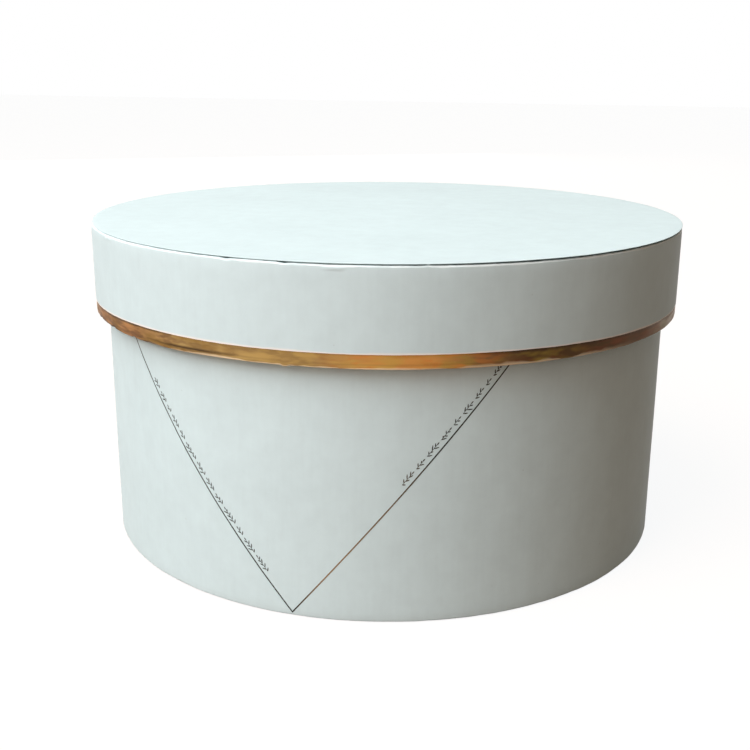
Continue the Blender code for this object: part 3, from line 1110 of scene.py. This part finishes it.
def draw_stem(bm, start, end):
    along = end - start
    stem = bmesh.ops.create_grid(bm, x_segments=6, y_segments=1, size=0.5)["verts"]
    bmesh.ops.scale(bm, verts=stem, vec=(along.length, stem_width, 1))
    bmesh.ops.rotate(bm, verts=stem, matrix=Matrix.Rotation(math.atan2(along.y, along.x), 3, "Z"))
    bmesh.ops.translate(bm, verts=stem, vec=(*((start + end) / 2), 0))


def draw_sprig(bm, start, along, leaves):
    """A short sprig: a fine stem with leaves to its left and right in turn, and one at its tip."""
    heading = math.atan2(along.y, along.x)
    tip = start + along * leaves * leaf_spacing
    draw_stem(bm, start, tip)
    for number in range(leaves):
        turn = 1 if number % 2 else -1
        place = Vector((number * 0.9, start.x / mm, start.y / mm))
        size = noise.noise(place)
        lean = noise.noise(place + lean_draw)
        foot = start + along * number * leaf_spacing
        turned = heading + (turn + 0.6 * lean) * leaf_spread
        draw_leaf(bm, foot, turned, leaf_length * (1 + 0.7 * size))
    draw_leaf(bm, tip, heading, tip_leaf_length)


def build_foil_sprigs():
    """A row of small sprigs along the inner side of each arm."""
    bm = bmesh.new()
    for side, first, last, offset in (left_sprigs, right_sprigs):
        along = Vector((side * math.cos(chevron_slope), math.sin(chevron_slope)))
        inward = Vector((-side * math.sin(chevron_slope), math.cos(chevron_slope)))
        origin = Vector((0, chevron_foot)) + inward * offset
        place = first
        while place < last - sprig_row_end:
            more = noise.noise(Vector((place / mm, side * 4.3, 0.5)))
            leaves = usual_leaves + round(usual_leaves * more)
            draw_sprig(bm, origin + along * place, along, leaves)
            place += leaves * leaf_spacing + tip_leaf_length + sprig_gap
    raise_foil(bm)
    add_piece("foil_sprigs", bm, gold_line, "base", None)


def dress_boards():
    """The greyboard tubes and discs keep their solids and get the board's finish."""
    for name in ("lid_wall_board", "lid_top_board", "base_wall_board", "base_floor_board"):
        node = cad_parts[name]
        node.data.materials.clear()
        node.data.materials.append(board)


def build_floor():
    """A floor just under the box: it shows pale to the camera, lights the box only a little, and
    is clear from below.
    """
    pale = (0.13, 0.09, 0.065)
    glow = (0.97, 0.99, 1.0)
    glow_strength = 0.93
    bm = bmesh.new()
    bmesh.ops.create_grid(bm, x_segments=1, y_segments=1, size=floor_reach)
    bmesh.ops.translate(bm, verts=bm.verts, vec=(0, 0, -floor_gap))
    mesh = bpy.data.meshes.new("studio_floor")
    bm.to_mesh(mesh)
    bm.free()
    floor = add_object("studio_floor", mesh)
    material, tree, shader = start_material("studio_floor", pale)
    shader.inputs["Base Color"].default_value = rgba(pale)
    shader.inputs["Roughness"].default_value = 0.9
    shader.inputs["Specular IOR Level"].default_value = 0.1
    shader.inputs["Emission Color"].default_value = rgba(glow)
    rays = add_node(tree, "LightPath").outputs
    seen = calculate(tree, "ADD", rays["Is Camera Ray"], rays["Is Glossy Ray"], clamp=True)
    shown = multiply(tree, seen, glow_strength)
    tree.links.new(shown, shader.inputs["Emission Strength"])
    from_below = add_node(tree, "NewGeometry").outputs["Backfacing"]
    tree.links.new(calculate(tree, "SUBTRACT", 1.0, from_below), shader.inputs["Alpha"])
    mesh.materials.append(material)


def build_world():
    """White where the camera, gloss or glass sees it, and elsewhere a weak even fill."""
    white = (1.0, 1.0, 1.0, 1.0)
    fill = (0.16, 0.116, 0.073, 1.0)
    world = bpy.data.worlds.new("studio")
    bpy.context.scene.world = world
    world.use_nodes = True
    tree = world.node_tree
    rays = add_node(tree, "LightPath").outputs
    seen = calculate(tree, "ADD", rays["Is Camera Ray"], rays["Is Glossy Ray"])
    seen = calculate(tree, "ADD", seen, rays["Is Transmission Ray"], clamp=True)
    tree.links.new(blend(tree, seen, fill, white), tree.nodes["Background"].inputs["Color"])


def build_lamp(name, wide, tall, power, colour, aside, elevation):
    """A soft lamp that faces the box, turned aside to the camera's left and raised, in degrees."""
    lamp = bpy.data.lights.new(name, "AREA")
    lamp.shape = "RECTANGLE"
    lamp.size = wide
    lamp.size_y = tall
    lamp.energy = power
    lamp.color = colour
    holder = add_object(name, lamp)
    azimuth = camera_azimuth - math.radians(aside)
    level = math.cos(math.radians(elevation))
    rise = math.sin(math.radians(elevation))
    towards = Vector((math.sin(azimuth) * level, -math.cos(azimuth) * level, rise))
    holder.location = towards * lamp_distance + Vector((0, 0, lid_lining_low.z))
    holder.rotation_euler = towards.to_track_quat("Z", "Y").to_euler()
    return holder


def build_lamps():
    """A tall lamp leans over the box from the camera's left, and a weak one stands low in front.
    Another weak one lights the back. It isn't mirrored, so that the lid's top gets no sheen from it.
    """
    cool = (0.943, 0.97, 1.0)
    warm = (1.0, 0.91, 0.89)
    plain = (0.96, 0.98, 1.0)
    build_lamp("key_lamp", 1.47, 2.3, power=67.3, colour=cool, aside=52.5, elevation=51)
    build_lamp("front_lamp", 1.5, 1.5, power=12.7, colour=warm, aside=28, elevation=18)
    back = build_lamp("back_lamp", 1.8, 1.2, power=14.0, colour=plain, aside=165, elevation=7)
    back.visible_glossy = False
    back.visible_camera = False


bpy.context.scene.view_settings.view_transform = "Standard"
build_lid_side_paper()
build_gold_band()
build_lid_top_paper()
build_linings()
build_base_side_paper()
build_foot_card()
build_foil_lines()
build_foil_sprigs()
dress_boards()
build_floor()
build_world()
build_lamps()
build_camera()
